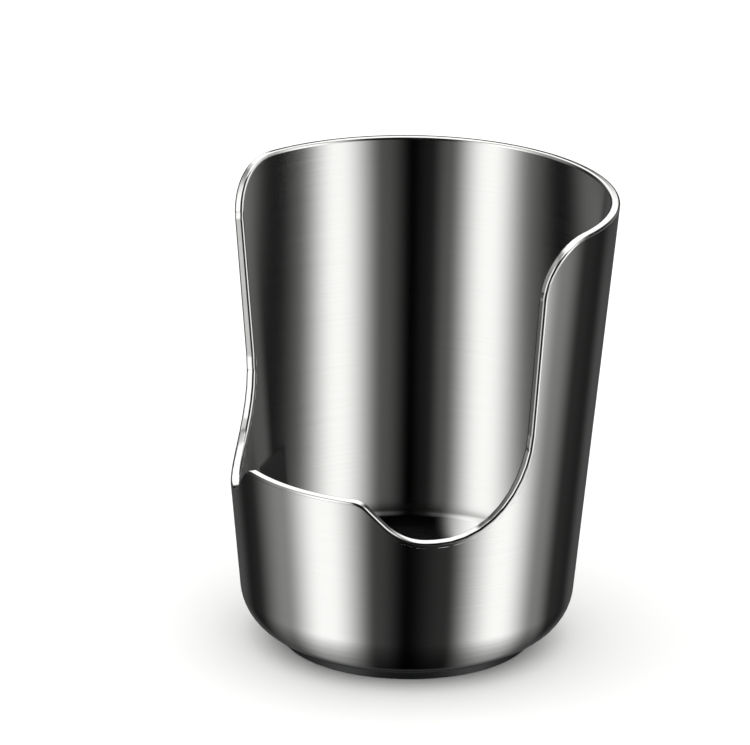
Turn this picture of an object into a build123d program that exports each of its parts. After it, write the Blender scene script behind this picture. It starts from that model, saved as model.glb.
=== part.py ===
from build123d import *
from math import cos, radians, sin, tan
import os

# Utensil holder: a double-walled stainless steel cup, cut open at the front so that long
# tools lean in it, with a rest for a slim tool on each side of the low front lip.
# +Z is up, the opening faces -Y, and the origin is the centre of the foot's underside.
# Lengths are in millimetres and angles in degrees.

# The cup's outer surface, with the height counted from the table
rim_height = 134.5
rim_radius = 60.0
wall_lean = 5.36
corner_radius = 14.5

# The double wall
sheet = 0.7
wall_gap = 1.5
inner_corner_radius = 12.0

# The opening. Its edge is drawn on the outer surface rolled out flat round the lip:
# a tab in the middle, a notch on each side of it, and two upright sides.
opening_half_angle = 78.9
rim_corner_radius = 16.0
side_corner_radius = 29.0
notch_height = 47.8
notch_radius = 17.7
tab_height = 59.6
tab_half_width = 21.9
tab_shoulder_radius = 7.0
flank_slope = 43.2

# The strip that closes the edge of the double wall, and its tongue between the sheets
band_depth = 1.6
band_edge_radius = 0.9
tongue_depth = 1.6
tongue_clearance = 0.1

# The weight between the two floors, and the foot under them
weight_thickness = 5.0
weight_margin = 1.2
weight_chamfer = 0.8
foot_height = 2.6
foot_overhang = 2.8
foot_edge_chamfer = 0.5
groove_width = 1.6
groove_depth = 0.6
groove_pitch = 8.0
groove_count = 3

# How far the uncut walls stand over the rim, the least level edge between a notch and the
# side corner beside it, the steps along a curve of the opening, and the difference under
# which two coordinates count as the same
spare_height = 4.0
least_level = 1.0
curve_steps = 8
same = 1e-6

wall = 2 * sheet + wall_gap
weight_floor = foot_height + sheet
inner_floor = weight_floor + weight_thickness


def wall_radius(height, inset=0.0):
    """Radius of the wall's outer surface, or of the surface that lies inset inside it."""
    lean = radians(wall_lean)
    return rim_radius - (rim_height - height) * tan(lean) - inset / cos(lean)


def flat_radius(inset, floor, corner):
    """Radius at which a cup's flat floor ends and its rounded corner starts."""
    return wall_radius(floor, inset) - corner * tan(radians(90 - wall_lean) / 2)


lip_radius = wall_radius(tab_height)
floor_radius = flat_radius(0, foot_height, corner_radius)
foot_radius = floor_radius + foot_overhang
weight_radius = floor_radius - weight_margin


def plug(inset, floor, corner, top):
    """All that lies within one leaning surface of the wall, with a rounded floor corner."""
    floor_end = (wall_radius(floor, inset), floor)
    top_end = (wall_radius(top, inset), top)
    with BuildSketch(Plane.YZ) as section:
        with BuildLine():
            FilletPolyline((0, floor), floor_end, top_end, radius=corner)
            Polyline(top_end, (0, top), (0, floor))
        make_face()
    return revolve(section.sketch, axis=Axis.Z, revolution_arc=360)


def uncut_cup(inset, floor, corner):
    """One cup drawn from a steel sheet, before its edge is cut to shape."""
    top = rim_height + spare_height
    outside = plug(inset, floor, corner, top)
    inside = plug(inset + sheet, floor + sheet, corner - sheet, top + spare_height)
    return outside - inside


def uncut_ring(inset, thickness):
    """A leaning ring of this thickness that stands over the rim."""
    top = rim_height + spare_height
    outside = plug(inset, foot_height, corner_radius, top)
    return outside - plug(inset + thickness, 0, corner_radius, top + spare_height)


def edge_line(depth):
    """The edge of the opening rolled out flat, or the line that runs this deep below it."""
    side = lip_radius * radians(opening_half_angle) + depth
    tab = tab_half_width - depth * tan(radians(flank_slope) / 2)
    notch = tab + (tab_height - notch_height) / tan(radians(flank_slope))
    notch_end = notch + (notch_radius + depth) * tan(radians(flank_slope) / 2)
    rim_start = side + rim_corner_radius + spare_height
    right_half = [
        (tab, tab_height - depth),
        (notch, notch_height - depth),
        (side, notch_height - depth),
        (side, rim_height - depth),
        (rim_start, rim_height - depth),
    ]
    left_half = [(-x, z) for x, z in reversed(right_half)]
    right_radii = [
        tab_shoulder_radius - depth,
        notch_radius + depth,
        min(side_corner_radius + depth, side - notch_end - least_level),
        rim_corner_radius - depth,
    ]
    return FilletPolyline(left_half + right_half, radius=right_radii[::-1] + right_radii)


def rolled_point(point, radius):
    """A point of the flat drawing, or the point at this radius that lies square behind it."""
    turn = point.X / lip_radius
    drop = (radius - wall_radius(point.Y)) * tan(radians(wall_lean))
    return Vector(radius * sin(turn), -radius * cos(turn), point.Y - drop)


def rolled_direction(edge, at, radius):
    """The direction and speed of an edge of the flat drawing, put back round the axis."""
    turn = (edge @ at).X / lip_radius
    flat = (edge % at) * edge.length
    along = flat.X * radius / lip_radius
    rise = flat.Y * (1 + tan(radians(wall_lean)) ** 2)
    return Vector(along * cos(turn), along * sin(turn), rise)


def rolled_edge(edge, radius):
    """An upright, level or curved edge of the flat drawing, put back round the axis."""
    start = rolled_point(edge @ 0, radius)
    middle = rolled_point(edge @ 0.5, radius)
    end = rolled_point(edge @ 1, radius)
    upright = abs((edge @ 0).X - (edge @ 1).X) < same
    level = abs((edge @ 0).Y - (edge @ 1).Y) < same
    if upright:
        return Edge.make_line(start, end)
    if level:
        return Edge.make_three_point_arc(start, middle, end)
    steps = [step / curve_steps for step in range(curve_steps + 1)]
    return Edge.make_spline(
        [rolled_point(edge @ step, radius) for step in steps],
        tangents=[rolled_direction(edge, at, radius) for at in (0, 1)],
        parameters=steps,
        scale=False,
    )


def curtain(depth):
    """The surface that cuts a wall along the edge line, square to the wall all the way."""
    line = edge_line(depth)
    near = wall_radius(notch_height, wall) / 2
    far = rim_radius + spare_height
    faces = []
    for edge in line.edges():
        ends = rolled_edge(edge, near), rolled_edge(edge, far)
        faces.append(Face.make_surface_from_curves(*ends))
    rim_arcs = []
    for radius in (near, far):
        rim_start = rolled_point(line @ 1, radius)
        rim_end = rolled_point(line @ 0, radius)
        back = Vector(0, radius, rim_start.Z)
        rim_arcs.append(Edge.make_three_point_arc(rim_start, back, rim_end))
    faces.append(Face.make_surface_from_curves(*rim_arcs))
    return Shell(faces)


def cut_below(solid, depth):
    """The part of a wall that lies under the edge line."""
    pieces = solid.split(curtain(depth), keep=Keep.ALL)
    return min(pieces, key=lambda piece: piece.bounding_box().min.Z)


def cut_above(solid, depth):
    """The part of a wall that lies over the line this deep below its edge."""
    pieces = solid.split(curtain(depth), keep=Keep.ALL)
    return max(pieces, key=lambda piece: piece.bounding_box().max.Z)


def make_outer_shell():
    """The outer cup. Its edge stops one strip's depth short of the finished edge."""
    return cut_below(uncut_cup(0, foot_height, corner_radius), band_depth)


def make_inner_shell():
    """The inner cup. It stands on the weight and ends level with the outer one."""
    return cut_below(uncut_cup(sheet + wall_gap, inner_floor, inner_corner_radius), band_depth)


def make_rim_band():
    """The strip along the whole edge, flush with both walls, with its tongue between them."""
    cap = cut_above(cut_below(uncut_ring(0, wall), 0), band_depth)
    rim_edges = cap.edges().filter_by_position(Axis.Z, rim_height - same, rim_height + wall)
    long_edges = rim_edges.filter_by(GeomType.LINE, reverse=True)
    cap = fillet(long_edges, band_edge_radius)
    tongue_ring = uncut_ring(sheet + tongue_clearance, wall_gap - 2 * tongue_clearance)
    tongue = cut_above(cut_below(tongue_ring, band_depth / 2), band_depth + tongue_depth)
    return cap + tongue


def make_base_weight():
    """The steel disc between the two floors. It carries the inner cup."""
    disc = Pos(0, 0, weight_floor) * Cylinder(
        weight_radius,
        weight_thickness,
        align=(Align.CENTER, Align.CENTER, Align.MIN),
    )
    return chamfer(disc.edges().filter_by(GeomType.CIRCLE), weight_chamfer)


def make_foot():
    """The moulded rubber disc under the cup, with ring grooves so that it grips."""
    base = (Align.CENTER, Align.CENTER, Align.MIN)
    disc = Cylinder(foot_radius, foot_height, align=base)
    disc = chamfer(disc.edges().filter_by(GeomType.CIRCLE), foot_edge_chamfer)
    for number in range(groove_count):
        outside = foot_radius - groove_pitch / 2 - number * groove_pitch
        groove = Cylinder(outside, groove_depth, align=base)
        disc -= groove - Cylinder(outside - groove_width, groove_depth, align=base)
    return disc


pieces = {
    "outer_shell": make_outer_shell(),
    "inner_shell": make_inner_shell(),
    "rim_band": make_rim_band(),
    "base_weight": make_base_weight(),
    "foot": make_foot(),
}

os.makedirs("parts", exist_ok=True)
for name, piece in pieces.items():
    export_step(piece, f"parts/{name}.step")
    print(f"{name}: {piece.volume / 1000:.2f} cm3")
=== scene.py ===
from math import cos, pi, radians, sin, tan

import bpy
from mathutils import Matrix


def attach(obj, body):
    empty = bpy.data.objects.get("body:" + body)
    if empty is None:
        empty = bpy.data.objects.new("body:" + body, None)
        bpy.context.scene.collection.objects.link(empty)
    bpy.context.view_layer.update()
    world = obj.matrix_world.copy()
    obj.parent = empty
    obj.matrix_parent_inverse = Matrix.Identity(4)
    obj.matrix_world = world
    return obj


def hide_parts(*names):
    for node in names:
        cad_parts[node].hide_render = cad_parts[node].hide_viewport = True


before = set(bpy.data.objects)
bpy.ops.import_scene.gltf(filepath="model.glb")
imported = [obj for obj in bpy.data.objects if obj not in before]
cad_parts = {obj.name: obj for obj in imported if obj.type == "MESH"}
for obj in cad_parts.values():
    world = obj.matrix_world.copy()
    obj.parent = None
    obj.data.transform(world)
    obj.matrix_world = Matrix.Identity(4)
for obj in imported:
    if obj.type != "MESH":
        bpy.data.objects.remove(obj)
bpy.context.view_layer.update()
mm = 0.001

# Outer shell
# The brushed outer wall and floor of the cup, drawn as a flaring cup from a 0.7 mm sheet of
# stainless steel and then cut along the edge of the opening. Its wall leans out towards the
# rim, its bottom corner is round, and the closing strip is welded along its cut edge.
rim_height = 134.5 * mm
rim_radius = 60.0 * mm
wall_lean = radians(5.36)
sheet = 0.7 * mm
outer_corner_radius = 14.5 * mm
foot_height = 2.6 * mm

# The opening is drawn on the wall's outer surface rolled out flat round the lip, with X along
# the wall from the middle of the opening, Y up from the table and Z into the wall.
tab_height = 59.6 * mm
tab_half_width = 21.9 * mm
tab_shoulder_radius = 7.0 * mm
notch_height = 47.8 * mm
notch_radius = 17.7 * mm
flank_slope = radians(43.2)
opening_half_angle = radians(78.9)
side_corner_radius = 29.0 * mm
rim_corner_radius = 16.0 * mm
band_depth = 1.6 * mm
lip_radius = rim_radius - (rim_height - tab_height) * tan(wall_lean)
half_turn = pi * lip_radius

# The mesh of a shell has its own columns over the lip and behind the opening. They share
# their rows up to side_low, and below row_join every row is level.
side_low = notch_height + side_corner_radius
side_high = rim_height - rim_corner_radius
row_join = 42.0 * mm
column_width = 0.95 * mm
row_height = 1.6 * mm
corner_steps = 16
weld = 0.001 * mm
crease_angle = radians(40)


def edge_corners(depth, rise=0.0):
    """The corners of the opening's right half this deep below the edge, with their radii.

    The edge is cut square to the leaning wall, so it rises by a little from face to face.
    """
    side = lip_radius * opening_half_angle + depth
    tab = tab_half_width - depth * tan(flank_slope / 2)
    notch = tab + (tab_height - notch_height) / tan(flank_slope)
    lift = rise - depth
    return [
        (tab, tab_height + lift, tab_shoulder_radius - depth),
        (notch, notch_height + lift, notch_radius + depth),
        (side, notch_height + lift, side_corner_radius + depth),
        (side, rim_height + lift, rim_corner_radius - depth),
    ]


def mirrored(points, middle=0.0):
    """The same points on the other side of a middle line, from last to first."""
    return [(2 * middle - x, y, radius) for x, y, radius in reversed(points)]


def wall_section(inset, floor, corner, top):
    """A cup's surface from rim to floor's middle, as radius, height and rounding."""
    at_table = rim_radius - rim_height * tan(wall_lean) - inset / cos(wall_lean)
    at_floor = at_table + floor * tan(wall_lean)
    at_top = at_table + top * tan(wall_lean)
    return [(at_top, top, 0), (at_floor, floor, corner), (0, floor, 0)]


def flat_drawing(name, lines, closed=()):
    """A curve object of straight lines, whose points carry the radius of their corner."""
    curve = bpy.data.curves.new(name, "CURVE")
    curve.dimensions = "3D"
    for number, line in enumerate(lines):
        spline = curve.splines.new("POLY")
        spline.points.add(len(line) - 1)
        spline.use_cyclic_u = number in closed
        for point, (x, y, radius) in zip(spline.points, line):
            point.co = (x, y, 0, 1)
            point.radius = radius
    piece = bpy.data.objects.new(name, curve)
    bpy.context.scene.collection.objects.link(piece)
    return piece


def add_node(tree, kind, inputs=(), **settings):
    """Adds a node with its settings, and links or fills its inputs by name or by place.

    A Mix node takes its share at 0, two numbers at 2 and 3, or two colours at 6 and 7.
    """
    node = tree.nodes.new(kind)
    for setting, value in settings.items():
        setattr(node, setting, value)
    for key, value in dict(inputs).items():
        if isinstance(value, bpy.types.Node):
            value = next(socket for socket in value.outputs if socket.enabled)
        if isinstance(value, bpy.types.NodeSocket):
            tree.links.new(value, node.inputs[key])
        else:
            node.inputs[key].default_value = value
    return node


def sized_tree(name, sizes):
    """A geometry tree with one named input for each size, and its input node."""
    tree = bpy.data.node_groups.new(name, "GeometryNodeTree")
    tree.interface.new_socket("Geometry", in_out="INPUT", socket_type="NodeSocketGeometry")
    tree.interface.new_socket("Geometry", in_out="OUTPUT", socket_type="NodeSocketGeometry")
    for size, kind in sizes.items():
        tree.interface.new_socket(size, in_out="INPUT", socket_type="NodeSocket" + kind)
    return tree, add_node(tree, "NodeGroupInput").outputs


def rolled(tree, inputs, along, upright):
    """A point drawn over the Y axis, turned round the cup by its place along the wall."""
    turn = add_node(tree, "ShaderNodeMath", {
        0: add_node(tree, "ShaderNodeMath", {
            0: along,
            1: inputs["Lip radius"],
        }, operation="DIVIDE"),
        1: pi,
    }, operation="ADD")
    return add_node(tree, "ShaderNodeVectorRotate", {
        "Vector": upright,
        "Angle": turn,
    }, rotation_type="Z_AXIS")


def shell_tree():
    """Columns hang from the lip and the rim, down the wall and in to the floor's middle."""
    sizes = {
        "Lip radius": "Float",
        "Flare": "Float",
        "Row join": "Float",
        "Side low": "Float",
        "Rim height": "Float",
        "Column width": "Float",
        "Row height": "Float",
        "Corner steps": "Int",
        "Weld": "Float",
        "Faces inward": "Bool",
        "Steel": "Material",
    }
    tree, inputs = sized_tree("Cup shell", sizes)
    rounded = add_node(tree, "GeometryNodeFilletCurve", {
        "Curve": inputs["Geometry"],
        "Count": inputs["Corner steps"],
        "Radius": add_node(tree, "GeometryNodeInputRadius"),
        "Limit Radius": True,
    }, mode="POLY")
    # The drawing's lines are the lip, the rim and, last, the section.
    is_section = add_node(tree, "ShaderNodeMath", {
        0: add_node(tree, "GeometryNodeInputIndex"),
        1: 1.5,
    }, operation="GREATER_THAN")
    lines = add_node(tree, "GeometryNodeSeparateGeometry", {
        "Geometry": rounded,
        "Selection": is_section,
    }, domain="CURVE")
    where = add_node(tree, "GeometryNodeInputPosition")
    captured = []
    for part, spacing in ((lines.outputs["Inverted"], "Column width"),
                          (lines.outputs["Selection"], "Row height")):
        steps = add_node(tree, "GeometryNodeResampleCurve", {
            "Curve": part,
            "Length": inputs[spacing],
        }, mode="LENGTH")
        place = add_node(tree, "GeometryNodeCaptureAttribute", {"Geometry": steps})
        place.capture_items.new("VECTOR", "Place")
        tree.links.new(where.outputs[0], place.inputs["Place"])
        captured.append(place)
    edge, section = captured
    grid = add_node(tree, "GeometryNodeCurveToMesh", {"Curve": edge, "Profile Curve": section})
    at_edge = add_node(tree, "ShaderNodeSeparateXYZ", {0: edge.outputs["Place"]}).outputs
    at_row = add_node(tree, "ShaderNodeSeparateXYZ", {0: section.outputs["Place"]}).outputs
    middle = add_node(tree, "ShaderNodeMath", {
        0: at_edge["Y"],
        1: inputs["Side low"],
    }, operation="MINIMUM")
    lower = add_node(tree, "ShaderNodeMath", {
        0: at_row["Y"],
        1: inputs["Row join"],
    }, operation="MINIMUM")
    upper = add_node(tree, "ShaderNodeMapRange", {
        "Value": at_row["Y"],
        "From Min": inputs["Row join"],
        "From Max": inputs["Side low"],
        "To Min": 0.0,
        "To Max": add_node(tree, "ShaderNodeMath", {
            0: middle,
            1: inputs["Row join"],
        }, operation="SUBTRACT"),
    })
    top = add_node(tree, "ShaderNodeMapRange", {
        "Value": at_row["Y"],
        "From Min": inputs["Side low"],
        "From Max": inputs["Rim height"],
        "To Min": 0.0,
        "To Max": add_node(tree, "ShaderNodeMath", {
            0: at_edge["Y"],
            1: middle,
        }, operation="SUBTRACT"),
    })
    height = add_node(tree, "ShaderNodeMath", {
        0: add_node(tree, "ShaderNodeMath", {0: lower, 1: upper}, operation="ADD"),
        1: top,
    }, operation="ADD")
    radius = add_node(tree, "ShaderNodeMath", {
        0: add_node(tree, "ShaderNodeMath", {0: height, 1: at_row["Y"]}, operation="SUBTRACT"),
        1: inputs["Flare"],
        2: at_row["X"],
    }, operation="MULTIPLY_ADD")
    upright = add_node(tree, "ShaderNodeCombineXYZ", {"Y": radius, "Z": height})
    moved = add_node(tree, "GeometryNodeSetPosition", {
        "Geometry": grid,
        "Position": rolled(tree, inputs, at_edge["X"], upright),
    })
    welded = add_node(tree, "GeometryNodeMergeByDistance", {
        "Geometry": moved,
        "Distance": inputs["Weld"],
    })
    turned = add_node(tree, "GeometryNodeFlipFaces", {
        "Mesh": welded,
        "Selection": inputs["Faces inward"],
    })
    smooth = add_node(tree, "GeometryNodeSetShadeSmooth", {"Geometry": turned})
    whole = add_node(tree, "GeometryNodeRealizeInstances", {"Geometry": smooth})
    steel = add_node(tree, "GeometryNodeSetMaterial", {
        "Geometry": whole,
        "Material": inputs["Steel"],
    })
    add_node(tree, "NodeGroupOutput", {0: steel})
    return tree


def grown(drawing, tree, sizes, thickness=0.0):
    """The plain mesh that a tree grows from a drawing, given a thickness behind its faces."""
    modifier = drawing.modifiers.new(tree.name, "NODES")
    modifier.node_group = tree
    for item in tree.interface.items_tree:
        if item.name in sizes:
            modifier[item.identifier] = sizes[item.name]
    view = bpy.context.evaluated_depsgraph_get()
    mesh = bpy.data.meshes.new_from_object(drawing.evaluated_get(view))
    name = drawing.name
    bpy.data.objects.remove(drawing)
    piece = bpy.data.objects.new(name, mesh)
    bpy.context.scene.collection.objects.link(piece)
    if thickness:
        solid = piece.modifiers.new("Sheet", "SOLIDIFY")
        solid.thickness = thickness
        solid.offset = -1
        solid.use_even_offset = True
        view = bpy.context.evaluated_depsgraph_get()
        mesh = bpy.data.meshes.new_from_object(piece.evaluated_get(view))
        piece.modifiers.remove(solid)
        piece.data = mesh
    mesh.set_sharp_from_angle(angle=crease_angle)
    return piece


def linear(hex_colour):
    """An sRGB hex colour as the linear colour that a shader takes."""
    colour = []
    for place in (1, 3, 5):
        share = int(hex_colour[place:place + 2], 16) / 255
        colour.append(share / 12.92 if share <= 0.04045 else ((share + 0.055) / 1.055) ** 2.4)
    return colour + [1.0]


def new_material(name):
    """An empty node material, and its tree."""
    material = bpy.data.materials.new(name)
    material.use_nodes = True
    material.node_tree.nodes.clear()
    return material, material.node_tree


# Brushed stainless steel: an abrasive belt, run round the cup, leaves fine level scratches.
# They blur what the wall mirrors up and down more than sideways, which takes a quarter turn
# from the belt's way, and each bundle of scratches shifts its stripe a little to one side.
# Real scratches are under 0.1 mm apart, too fine to show, so these bundles are wider.
bundle_height = 0.3 * mm
bundle_length = 60.0 * mm
sideways_shift = 0.003
quarter_turn = 0.25
smoothest_brushing = 0.07
roughest_brushing = 0.09
brushed_steel, tree = new_material("Brushed stainless steel")
place = add_node(tree, "ShaderNodeTexCoord").outputs["Object"]
axes = add_node(tree, "ShaderNodeSeparateXYZ", {0: place}).outputs
radius = add_node(tree, "ShaderNodeVectorMath", {
    0: add_node(tree, "ShaderNodeCombineXYZ", {"X": axes["X"], "Y": axes["Y"]}),
}, operation="LENGTH").outputs["Value"]
scratch_line = add_node(tree, "ShaderNodeCombineXYZ", {
    "X": axes["X"],
    "Y": axes["Y"],
    "Z": add_node(tree, "ShaderNodeMath", {0: axes["Z"], 1: radius}, operation="ADD"),
})
scratches = add_node(tree, "ShaderNodeTexNoise", {
    "Vector": add_node(tree, "ShaderNodeVectorMath", {
        0: scratch_line,
        1: (1 / bundle_length, 1 / bundle_length, 1 / bundle_height),
    }, operation="MULTIPLY"),
    "Scale": 1.0,
    "Detail": 3.0,
    "Roughness": 0.6,
})
steel_colour = add_node(tree, "ShaderNodeMix", {
    0: scratches,
    6: linear("#C6C6C4"),
    7: linear("#D2D2D0"),
}, data_type="RGBA")
steel_roughness = add_node(tree, "ShaderNodeMapRange", {
    "Value": scratches,
    "From Min": 0.25,
    "From Max": 0.75,
    "To Min": smoothest_brushing,
    "To Max": roughest_brushing,
})
along_belt = add_node(tree, "ShaderNodeVectorMath", {
    0: add_node(tree, "ShaderNodeVectorMath", {
        0: (0, 0, 1),
        1: place,
    }, operation="CROSS_PRODUCT"),
}, operation="NORMALIZE")
aside = add_node(tree, "ShaderNodeVectorMath", {
    0: along_belt,
    "Scale": add_node(tree, "ShaderNodeMapRange", {
        "Value": scratches,
        "To Min": -sideways_shift,
        "To Max": sideways_shift,
    }),
}, operation="SCALE")
tilted = add_node(tree, "ShaderNodeVectorMath", {
    0: add_node(tree, "ShaderNodeNewGeometry").outputs["Normal"],
    1: aside,
}, operation="ADD")
shader = add_node(tree, "ShaderNodeBsdfPrincipled", {
    "Base Color": steel_colour,
    "Metallic": 1.0,
    "Roughness": steel_roughness,
    "Anisotropic": 0.6,
    "Anisotropic Rotation": quarter_turn,
    "Tangent": along_belt,
    "Normal": add_node(tree, "ShaderNodeVectorMath", {0: tilted}, operation="NORMALIZE"),
})
add_node(tree, "ShaderNodeOutputMaterial", {"Surface": shader})


def make_shell(name, inset, floor, corner, faces_inward):
    """One of the two cups, as a sheet of steel behind its brushed side."""
    rise = inset * sin(wall_lean)
    corners = edge_corners(band_depth, rise)
    side = corners[3][0]
    lip_half = corners[:3] + [(side, side_low + rise, 0)]
    rim_start = [(side, side_high + rise, 0), corners[3]]
    rim = rim_start + mirrored(rim_start, half_turn)
    section = wall_section(inset, floor, corner, rim_height + rise)
    drawing = flat_drawing(name, [mirrored(lip_half) + lip_half, rim, section])
    sizes = {
        "Lip radius": lip_radius,
        "Flare": tan(wall_lean),
        "Row join": row_join,
        "Side low": side_low + rise,
        "Rim height": rim_height + rise,
        "Column width": column_width,
        "Row height": row_height,
        "Corner steps": corner_steps,
        "Weld": weld,
        "Faces inward": faces_inward,
        "Steel": brushed_steel,
    }
    return grown(drawing, cup_shell, sizes, thickness=sheet)


cup_shell = shell_tree()
outer_shell = make_shell("outer_shell_brushed", 0.0, foot_height, outer_corner_radius, False)
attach(outer_shell, "root")
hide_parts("outer_shell")

# Inner shell
# The second cup, drawn from the same sheet. It stands on the base weight, leaves a gap
# of still air inside the outer one, and its brushed side is the one that faces the tools.
wall_gap = 1.5 * mm
inner_corner_radius = 12.0 * mm
weight_thickness = 5.0 * mm
wall = 2 * sheet + wall_gap
inner_floor = foot_height + sheet + weight_thickness + sheet

inner_shell = make_shell(
    "inner_shell_brushed", wall, inner_floor, inner_corner_radius - sheet, True
)
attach(inner_shell, "root")
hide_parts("inner_shell")

# Rim band
# The strip that closes the double wall along its whole edge, over the rim, down both sides
# of the opening and along the lip. Its tongue sits between the two sheets. It is welded in,
# ground flush with both walls, brushed with them, and its edge is polished and rounded.
# A point a little beside each rounding holds its end, so that the flats shade as flats.
band_edge_radius = 0.9 * mm
tongue_depth = 1.6 * mm
tongue_clearance = 0.1 * mm
hold = 0.05 * mm
band_step = 0.8 * mm
band_corner_steps = 10


def band_tree():
    """The strip's section run along the finished edge and put back round the axis."""
    sizes = {
        "Lip radius": "Float",
        "Table radius": "Float",
        "Flare": "Float",
        "Into the wall": "Vector",
        "Step": "Float",
        "Corner steps": "Int",
        "Polished depth": "Float",
        "Weld": "Float",
        "Polished steel": "Material",
        "Brushed steel": "Material",
    }
    tree, inputs = sized_tree("Closing strip", sizes)
    rounded = add_node(tree, "GeometryNodeFilletCurve", {
        "Curve": inputs["Geometry"],
        "Count": inputs["Corner steps"],
        "Radius": add_node(tree, "GeometryNodeInputRadius"),
        "Limit Radius": True,
    }, mode="POLY")
    even = add_node(tree, "GeometryNodeSetCurveRadius", {"Curve": rounded, "Radius": 1.0})
    upright = add_node(tree, "GeometryNodeSetCurveNormal", {"Curve": even}, mode="Z_UP")
    # The drawing's lines are the edge and, last, the section.
    is_section = add_node(tree, "ShaderNodeMath", {
        0: add_node(tree, "GeometryNodeInputIndex"),
        1: 0.5,
    }, operation="GREATER_THAN")
    lines = add_node(tree, "GeometryNodeSeparateGeometry", {
        "Geometry": upright,
        "Selection": is_section,
    }, domain="CURVE")
    path = add_node(tree, "GeometryNodeResampleCurve", {
        "Curve": lines.outputs["Inverted"],
        "Length": inputs["Step"],
    }, mode="LENGTH")
    where = add_node(tree, "GeometryNodeInputPosition")
    section = add_node(tree, "GeometryNodeCaptureAttribute", {
        "Geometry": lines.outputs["Selection"],
    })
    section.capture_items.new("VECTOR", "Place")
    tree.links.new(where.outputs[0], section.inputs["Place"])
    strip = add_node(tree, "GeometryNodeCurveToMesh", {
        "Curve": path,
        "Profile Curve": section,
    })
    flat = add_node(tree, "ShaderNodeSeparateXYZ", {0: where}).outputs
    outside = add_node(tree, "ShaderNodeMath", {
        0: flat["Y"],
        1: inputs["Flare"],
        2: inputs["Table radius"],
    }, operation="MULTIPLY_ADD")
    inward = add_node(tree, "ShaderNodeVectorMath", {
        0: inputs["Into the wall"],
        "Scale": flat["Z"],
    }, operation="SCALE")
    square = add_node(tree, "ShaderNodeVectorMath", {
        0: inward,
        1: add_node(tree, "ShaderNodeCombineXYZ", {"Y": outside, "Z": flat["Y"]}),
    }, operation="ADD")
    moved = add_node(tree, "GeometryNodeSetPosition", {
        "Geometry": strip,
        "Position": rolled(tree, inputs, flat["X"], square),
    })
    welded = add_node(tree, "GeometryNodeMergeByDistance", {
        "Geometry": moved,
        "Distance": inputs["Weld"],
    })
    smooth = add_node(tree, "GeometryNodeSetShadeSmooth", {"Geometry": welded})
    whole = add_node(tree, "GeometryNodeRealizeInstances", {"Geometry": smooth})
    polished = add_node(tree, "GeometryNodeSetMaterial", {
        "Geometry": whole,
        "Material": inputs["Polished steel"],
    })
    is_side = add_node(tree, "ShaderNodeMath", {
        0: add_node(tree, "ShaderNodeSeparateXYZ", {0: section.outputs["Place"]}).outputs["X"],
        1: inputs["Polished depth"],
    }, operation="GREATER_THAN")
    brushed = add_node(tree, "GeometryNodeSetMaterial", {
        "Geometry": polished,
        "Selection": is_side,
        "Material": inputs["Brushed steel"],
    })
    add_node(tree, "NodeGroupOutput", {0: brushed})
    return tree


# Polished stainless steel: buffed with a soft wheel, so the edge mirrors lamps almost sharply,
# with a faint haze that comes and goes along it.
haze_size = 3.0 * mm
clearest_polish = 0.09
haziest_polish = 0.15
polished_steel, tree = new_material("Polished stainless steel")
haze = add_node(tree, "ShaderNodeTexNoise", {
    "Vector": add_node(tree, "ShaderNodeTexCoord").outputs["Object"],
    "Scale": 1 / haze_size,
    "Detail": 4.0,
})
shader = add_node(tree, "ShaderNodeBsdfPrincipled", {
    "Base Color": add_node(tree, "ShaderNodeMix", {
        0: haze,
        6: linear("#D2D2D0"),
        7: linear("#DEDEDC"),
    }, data_type="RGBA"),
    "Metallic": 1.0,
    "Roughness": add_node(tree, "ShaderNodeMapRange", {
        "Value": haze,
        "From Min": 0.3,
        "From Max": 0.7,
        "To Min": clearest_polish,
        "To Max": haziest_polish,
    }),
})
add_node(tree, "ShaderNodeOutputMaterial", {"Surface": shader})

finished_edge = edge_corners(0.0)
half_edge = finished_edge + [(half_turn, rim_height, 0)]
tongue_near = sheet + tongue_clearance
tongue_far = wall - tongue_near
tongue_end = band_depth + tongue_depth
band_section = [
    (band_edge_radius + hold, 0, 0),
    (band_depth, 0, 0),
    (band_depth, -tongue_near, 0),
    (tongue_end, -tongue_near, 0),
    (tongue_end, -tongue_far, 0),
    (band_depth, -tongue_far, 0),
    (band_depth, -wall, 0),
    (band_edge_radius + hold, -wall, 0),
    (0, -wall, band_edge_radius),
    (0, band_edge_radius + hold - wall, 0),
    (0, -band_edge_radius - hold, 0),
    (0, 0, band_edge_radius),
]
band_drawing = flat_drawing(
    "rim_band_polished", [mirrored(half_edge) + half_edge, band_section], closed=[1]
)
rim_band = grown(band_drawing, band_tree(), {
    "Lip radius": lip_radius,
    "Table radius": rim_radius - rim_height * tan(wall_lean),
    "Flare": tan(wall_lean),
    "Into the wall": (0.0, -cos(wall_lean), sin(wall_lean)),
    "Step": band_step,
    "Corner steps": band_corner_steps,
    "Polished depth": band_edge_radius,
    "Weld": weld,
    "Polished steel": polished_steel,
    "Brushed steel": brushed_steel,
})
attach(rim_band, "root")
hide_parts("rim_band")

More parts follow.
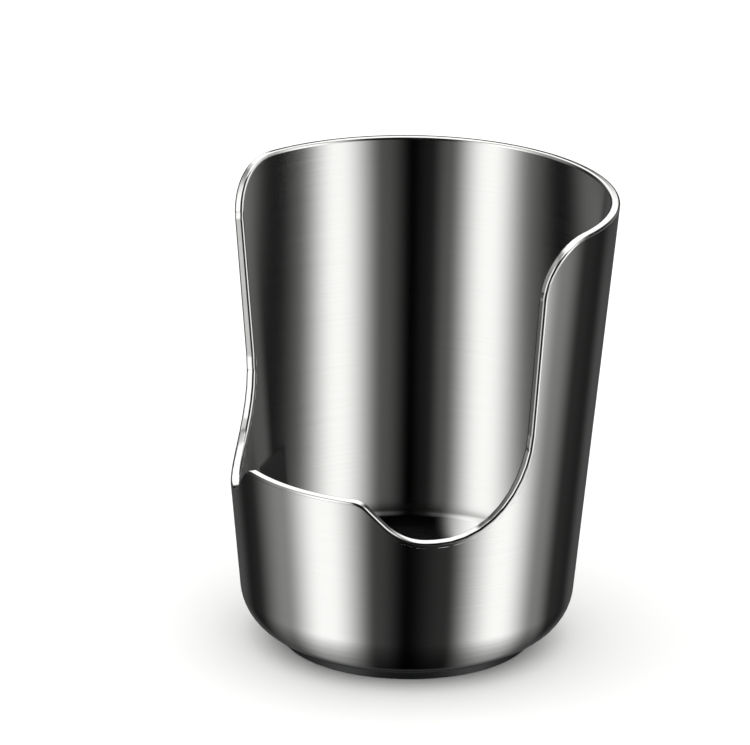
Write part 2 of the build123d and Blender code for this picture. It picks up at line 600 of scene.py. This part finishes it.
# Base weight
# A plain steel disc between the two floors, which steadies the cup. Nobody sees it: it keeps
# the fine rings that a lathe leaves.
ring_pitch = 0.4 * mm
smoothest_turning = 0.25
roughest_turning = 0.45
turned_steel, tree = new_material("Turned mild steel")
axes = add_node(tree, "ShaderNodeSeparateXYZ", {
    0: add_node(tree, "ShaderNodeTexCoord").outputs["Object"],
}).outputs
radius = add_node(tree, "ShaderNodeVectorMath", {
    0: add_node(tree, "ShaderNodeCombineXYZ", {"X": axes["X"], "Y": axes["Y"]}),
}, operation="LENGTH").outputs["Value"]
ring = add_node(tree, "ShaderNodeMath", {
    0: add_node(tree, "ShaderNodeMath", {
        0: radius,
        1: 2 * pi / ring_pitch,
    }, operation="MULTIPLY"),
}, operation="SINE")
shader = add_node(tree, "ShaderNodeBsdfPrincipled", {
    "Base Color": linear("#9A9A98"),
    "Metallic": 1.0,
    "Roughness": add_node(tree, "ShaderNodeMapRange", {
        "Value": ring,
        "From Min": -1.0,
        "To Min": smoothest_turning,
        "To Max": roughest_turning,
    }),
})
add_node(tree, "ShaderNodeOutputMaterial", {"Surface": shader})
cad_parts["base_weight"].data.materials.clear()
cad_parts["base_weight"].data.materials.append(turned_steel)

# Foot
# A moulded disc of black synthetic rubber, glued under the floor so that the cup grips the
# table. It stands out past the start of the rounded corner, which leaves a dark crease.
# The mould leaves a fine grain and a dull gloss.
grain_size = 0.5 * mm
grain_depth = 0.05 * mm
glossiest_rubber = 0.26
dullest_rubber = 0.36
moulded_rubber, tree = new_material("Moulded nitrile rubber")
grain = add_node(tree, "ShaderNodeTexNoise", {
    "Vector": add_node(tree, "ShaderNodeTexCoord").outputs["Object"],
    "Scale": 1 / grain_size,
    "Detail": 4.0,
    "Roughness": 0.6,
})
shader = add_node(tree, "ShaderNodeBsdfPrincipled", {
    "Base Color": add_node(tree, "ShaderNodeMix", {
        0: grain,
        6: linear("#171818"),
        7: linear("#1F2121"),
    }, data_type="RGBA"),
    "Roughness": add_node(tree, "ShaderNodeMapRange", {
        "Value": grain,
        "From Min": 0.3,
        "From Max": 0.7,
        "To Min": glossiest_rubber,
        "To Max": dullest_rubber,
    }),
    "Normal": add_node(tree, "ShaderNodeBump", {
        "Height": grain,
        "Strength": 0.25,
        "Distance": grain_depth,
    }),
})
add_node(tree, "ShaderNodeOutputMaterial", {"Surface": shader})
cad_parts["foot"].data.materials.clear()
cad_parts["foot"].data.materials.append(moulded_rubber)

# Floor, studio light and camera
# A pale sheet of card under the cup. Tall soft lamps stand left and right of the camera, with
# dark screens between them, and a wide lamp hangs over the cup and a little behind it.
camera_turn = 38.55
floor_size = 12.0
card, tree = new_material("White card")
shader = add_node(tree, "ShaderNodeBsdfPrincipled", {
    "Base Color": linear("#F4F4F3"),
    "Roughness": 0.9,
    "Specular IOR Level": 0.0,
})
add_node(tree, "ShaderNodeOutputMaterial", {"Surface": shader})
card_mesh = bpy.data.meshes.new("floor")
half = floor_size / 2
corners = [(-half, -half, 0), (half, -half, 0), (half, half, 0), (-half, half, 0)]
card_mesh.from_pydata(corners, [], [(0, 1, 2, 3)])
card_mesh.materials.append(card)
floor = bpy.data.objects.new("floor", card_mesh)
bpy.context.scene.collection.objects.link(floor)

# The mirrored rays pass the steel, so that the floor inside would miss the wall behind it. A
# dark glowing sheet is hidden between the two shells, from straight behind round to the
# camera's right. It stands in for that part of the wall and paints its reflection onto the
# floor inside: a painted reflection, not a part of the cup.
stand_in_low = 14.0 * mm
stand_in_high = 30.0 * mm
stand_in_middle = radians(camera_turn - 17.5)
stand_in_half_angle = radians(22.5)
stand_in_steps = 12
painted_wall_reflection, tree = new_material("Painted wall reflection")
# The sheet glows a flat dark grey though it is no lamp: painted reflection of the shaded wall.
shader = add_node(tree, "ShaderNodeEmission", {"Color": linear("#303030")})
add_node(tree, "ShaderNodeOutputMaterial", {"Surface": shader})
corners = []
for number in range(stand_in_steps + 1):
    angle = stand_in_middle + stand_in_half_angle * (2 * number / stand_in_steps - 1)
    for height in (stand_in_low, stand_in_high):
        reach = rim_radius - (rim_height - height) * tan(wall_lean) - wall / 2 / cos(wall_lean)
        corners.append((-reach * sin(angle), reach * cos(angle), height))
stand_in_mesh = bpy.data.meshes.new("stand_in")
stand_in_mesh.from_pydata(
    corners, [], [(2 * k, 2 * k + 2, 2 * k + 3, 2 * k + 1) for k in range(stand_in_steps)]
)
stand_in_mesh.materials.append(painted_wall_reflection)
stand_in = bpy.data.objects.new("stand_in", stand_in_mesh)
bpy.context.scene.collection.objects.link(stand_in)
stand_in.visible_camera = False
stand_in.visible_diffuse = False
stand_in.visible_shadow = False

# The steel mirrors the studio alone, not the cup itself or the card.
for piece in (outer_shell, inner_shell, rim_band, floor):
    piece.visible_glossy = False

# The lamps, as brightness by how many degrees to the right of the camera a wall faces that
# mirrors them to it, so that their stripes run straight down the cup. The outer wall leans
# down and mirrors the low ring, and the inner wall looks up to the high one.
low_ring = [
    (-180, 0.05), (-80, 0.07), (-64, 0.012), (-60, 0.016), (-44, 0.22), (-29, 0.99),
    (-26, 0.99), (-10, 0.045), (0, 0.002), (13, 0.025), (31, 0.985), (33, 0.985),
    (48, 0.19), (58, 0.022), (66, 0.014), (80, 0.09), (180, 0.05),
]
high_ring = [
    (-180, 0.01), (-57, 0.02), (-52.5, 0.14), (-48, 0.0), (-45, 0.0), (-38, 0.09),
    (-26, 1.0), (-24, 1.0), (-12, 0.09), (-6, 0.01), (0, 0.0), (9, 0.08), (23, 1.0),
    (24.5, 1.0), (36.5, 0.06), (41, 0.005), (45, 0.005), (51, 0.17), (180, 0.17),
]
# What is left of the low ring where the wall turns under, by degrees up that it faces
down_to_foot = [
    (-90, 0.08), (-53, 0.15), (-38, 0.27), (-28, 0.42), (-19, 0.61), (-13, 0.8), (-9, 1.0),
    (180, 1.0),
]
# The lamp overhead, as degrees from the horizon in front over the top to the one behind
overhead = [
    (0, 0.0), (66, 0.0), (84, 1.0), (150, 1.0), (162, 0.95), (168, 0.02), (180, 0.0),
]
lamp_strength = 1.6
room_grey = 0.22
dim_grey = 0.05
edge_dimming = 0.5
side_brightness = 0.08
card_light_level = 0.86
card_light_above = 1.6

# The elevations between which one part of the lamps gives way to the next, as what is
# mirrored rises: the low ring, the high one, the lamps beside and above, and the room
ring_change = (radians(-16.5), radians(-15.5))
above_starts = (radians(-6.5), radians(-4.5))
room_starts = (radians(44), radians(54))
# How far the high ring's lamps lean out, as a share of the angle, over these elevations
lean_span = (radians(-15), radians(-7.4))
lean_share = (0.7, 1.08)
# Where the faint light at the far right starts and is full, by the way that a wall faces
side_span = (radians(53), radians(60))
# How far from level a wall faces where its lamps start to brighten, and where they are full
edge_span = (radians(1.5), radians(4))
# The length of the halfway vector where the rings start behind the cup, and are full
behind_span = (0.25, 0.7)
# How far to a side the lamp overhead starts to fade, and ends
overhead_side = (0.3, 0.55)
# How far the camera looks down
view_drop = radians(19.6)

world = bpy.data.worlds.new("Studio")
bpy.context.scene.world = world
world.use_nodes = True
tree = world.node_tree
tree.nodes.clear()
# Seen from the camera's side, X is to its right, Y away from it and Z up.
seen = add_node(tree, "ShaderNodeVectorRotate", {
    "Vector": add_node(tree, "ShaderNodeTexCoord").outputs["Generated"],
    "Angle": radians(-camera_turn),
}, rotation_type="Z_AXIS")
axes = add_node(tree, "ShaderNodeSeparateXYZ", {0: seen}).outputs
nearer = add_node(tree, "ShaderNodeMath", {0: axes["Y"], 1: -1.0}, operation="MULTIPLY")
elevation = add_node(tree, "ShaderNodeMath", {0: axes["Z"]}, operation="ARCSINE")
over_top = add_node(tree, "ShaderNodeMath", {0: axes["Z"], 1: nearer}, operation="ARCTAN2")
# The way that a wall faces is halfway between the camera and what it mirrors.
halfway = add_node(tree, "ShaderNodeVectorMath", {
    0: seen,
    1: (0.0, cos(view_drop), -sin(view_drop)),
}, operation="SUBTRACT")
facing = add_node(tree, "ShaderNodeSeparateXYZ", {
    0: add_node(tree, "ShaderNodeVectorMath", {0: halfway}, operation="NORMALIZE"),
}).outputs
turn = add_node(tree, "ShaderNodeMath", {
    0: facing["X"],
    1: add_node(tree, "ShaderNodeMath", {0: facing["Y"], 1: -1.0}, operation="MULTIPLY"),
}, operation="ARCTAN2")
upward = add_node(tree, "ShaderNodeMath", {0: facing["Z"]}, operation="ARCSINE")
# The lamps of the high ring lean out towards their tops.
leaning = add_node(tree, "ShaderNodeMapRange", {
    "Value": elevation,
    "From Min": lean_span[0],
    "From Max": lean_span[1],
    "To Min": lean_share[0],
    "To Max": lean_share[1],
})
high_turn = add_node(tree, "ShaderNodeMath", {0: turn, 1: leaning}, operation="MULTIPLY")
ramps = []
for angle, least, stops in ((turn, -180, low_ring), (high_turn, -180, high_ring),
                            (upward, -90, down_to_foot), (over_top, 0, overhead)):
    ramp = add_node(tree, "ShaderNodeValToRGB", {
        "Fac": add_node(tree, "ShaderNodeMapRange", {
            "Value": angle,
            "From Min": radians(least),
            "From Max": pi,
        }),
    })
    ramp.color_ramp.interpolation = "EASE"
    elements = ramp.color_ramp.elements
    elements.remove(elements[1])
    for number, (degrees, brightness) in enumerate(stops):
        spot = (degrees - least) / (180 - least)
        stop = elements.new(spot) if number else elements[0]
        stop.position = spot
        stop.color = (brightness, brightness, brightness, 1)
    ramps.append(ramp)
low_light, high_light, foot_share, overhead_light = ramps
# A faint light far to the right shows only at the left end of the inner wall.
side_light = add_node(tree, "ShaderNodeMapRange", {
    "Value": turn,
    "From Min": side_span[0],
    "From Max": side_span[1],
    "To Max": side_brightness,
}, interpolation_type="SMOOTHSTEP")
rings = add_node(tree, "ShaderNodeMix", {
    0: add_node(tree, "ShaderNodeMapRange", {
        "Value": elevation,
        "From Min": ring_change[0],
        "From Max": ring_change[1],
    }),
    2: add_node(tree, "ShaderNodeMath", {0: low_light, 1: foot_share}, operation="MULTIPLY"),
    3: add_node(tree, "ShaderNodeMath", {0: high_light, 1: side_light}, operation="MAXIMUM"),
})
# An upright edge faces level, unlike either wall, and the lamps that it mirrors are dimmer.
edge_share = add_node(tree, "ShaderNodeMapRange", {
    "Value": add_node(tree, "ShaderNodeMath", {0: upward}, operation="ABSOLUTE"),
    "From Min": edge_span[0],
    "From Max": edge_span[1],
    "To Min": edge_dimming,
}, interpolation_type="SMOOTHSTEP")
# Straight behind, where every wall's edge mirrors the same spot, the rings end in a dim grey.
rings_behind = add_node(tree, "ShaderNodeMix", {
    0: add_node(tree, "ShaderNodeMapRange", {
        "Value": add_node(tree, "ShaderNodeVectorMath", {0: halfway}, operation="LENGTH"),
        "From Min": behind_span[0],
        "From Max": behind_span[1],
    }, interpolation_type="SMOOTHSTEP"),
    2: dim_grey,
    3: add_node(tree, "ShaderNodeMath", {0: rings, 1: edge_share}, operation="MULTIPLY"),
})
# Beside the lamp overhead, the low ring's lamps reach up to the grey of the room.
beside = add_node(tree, "ShaderNodeMix", {
    0: add_node(tree, "ShaderNodeMapRange", {
        "Value": elevation,
        "From Min": room_starts[0],
        "From Max": room_starts[1],
    }),
    2: low_light,
    3: room_grey,
})
above = add_node(tree, "ShaderNodeMix", {
    0: add_node(tree, "ShaderNodeMapRange", {
        "Value": add_node(tree, "ShaderNodeMath", {0: axes["X"]}, operation="ABSOLUTE"),
        "From Min": overhead_side[0],
        "From Max": overhead_side[1],
    }, interpolation_type="SMOOTHSTEP"),
    2: overhead_light,
    3: beside,
})
all_lamps = add_node(tree, "ShaderNodeMix", {
    0: add_node(tree, "ShaderNodeMapRange", {
        "Value": elevation,
        "From Min": above_starts[0],
        "From Max": above_starts[1],
    }),
    2: rings_behind,
    3: above,
})
mirror_light = add_node(tree, "ShaderNodeBackground", {
    "Color": linear("#FFFFFF"),
    "Strength": add_node(tree, "ShaderNodeMath", {
        0: all_lamps,
        1: lamp_strength,
    }, operation="MULTIPLY"),
})
# The card is lit by a plain sky that brightens upwards, and the camera sees a pale backdrop.
card_light = add_node(tree, "ShaderNodeBackground", {
    "Color": linear("#FFFFFF"),
    "Strength": add_node(tree, "ShaderNodeMapRange", {
        "Value": axes["Z"],
        "To Min": card_light_level,
        "To Max": card_light_above,
    }),
})
backdrop = add_node(tree, "ShaderNodeBackground", {
    "Color": linear("#FBFBFA"),
    "Strength": 1.0,
})
ray = add_node(tree, "ShaderNodeLightPath").outputs
mirrored_or_not = add_node(tree, "ShaderNodeMixShader", {
    0: ray["Is Glossy Ray"],
    1: card_light,
    2: mirror_light,
})
shown = add_node(tree, "ShaderNodeMixShader", {
    0: ray["Is Camera Ray"],
    1: mirrored_or_not,
    2: backdrop,
})
add_node(tree, "ShaderNodeOutputWorld", {"Surface": shown})
bpy.context.scene.view_settings.view_transform = "Standard"

# The camera stands to the right of the opening, with a long lens, and looks down at the cup.
camera_range = 1.7771
camera_height = 0.71306
aim_turn = -0.323
aim_drop = 19.582
aim_roll = 0.642
lens = bpy.data.cameras.new("Camera")
lens.sensor_width = 36.0
lens.lens = 312.0
camera = bpy.data.objects.new("Camera", lens)
bpy.context.scene.collection.objects.link(camera)
stand = Matrix.Rotation(radians(camera_turn), 4, "Z")
camera.matrix_world = (
    stand @ Matrix.Translation((0, -camera_range, camera_height))
    @ Matrix.Rotation(radians(-aim_turn), 4, "Z")
    @ Matrix.Rotation(radians(90 - aim_drop), 4, "X")
    @ Matrix.Rotation(radians(aim_roll), 4, "Z")
)
bpy.context.scene.camera = camera
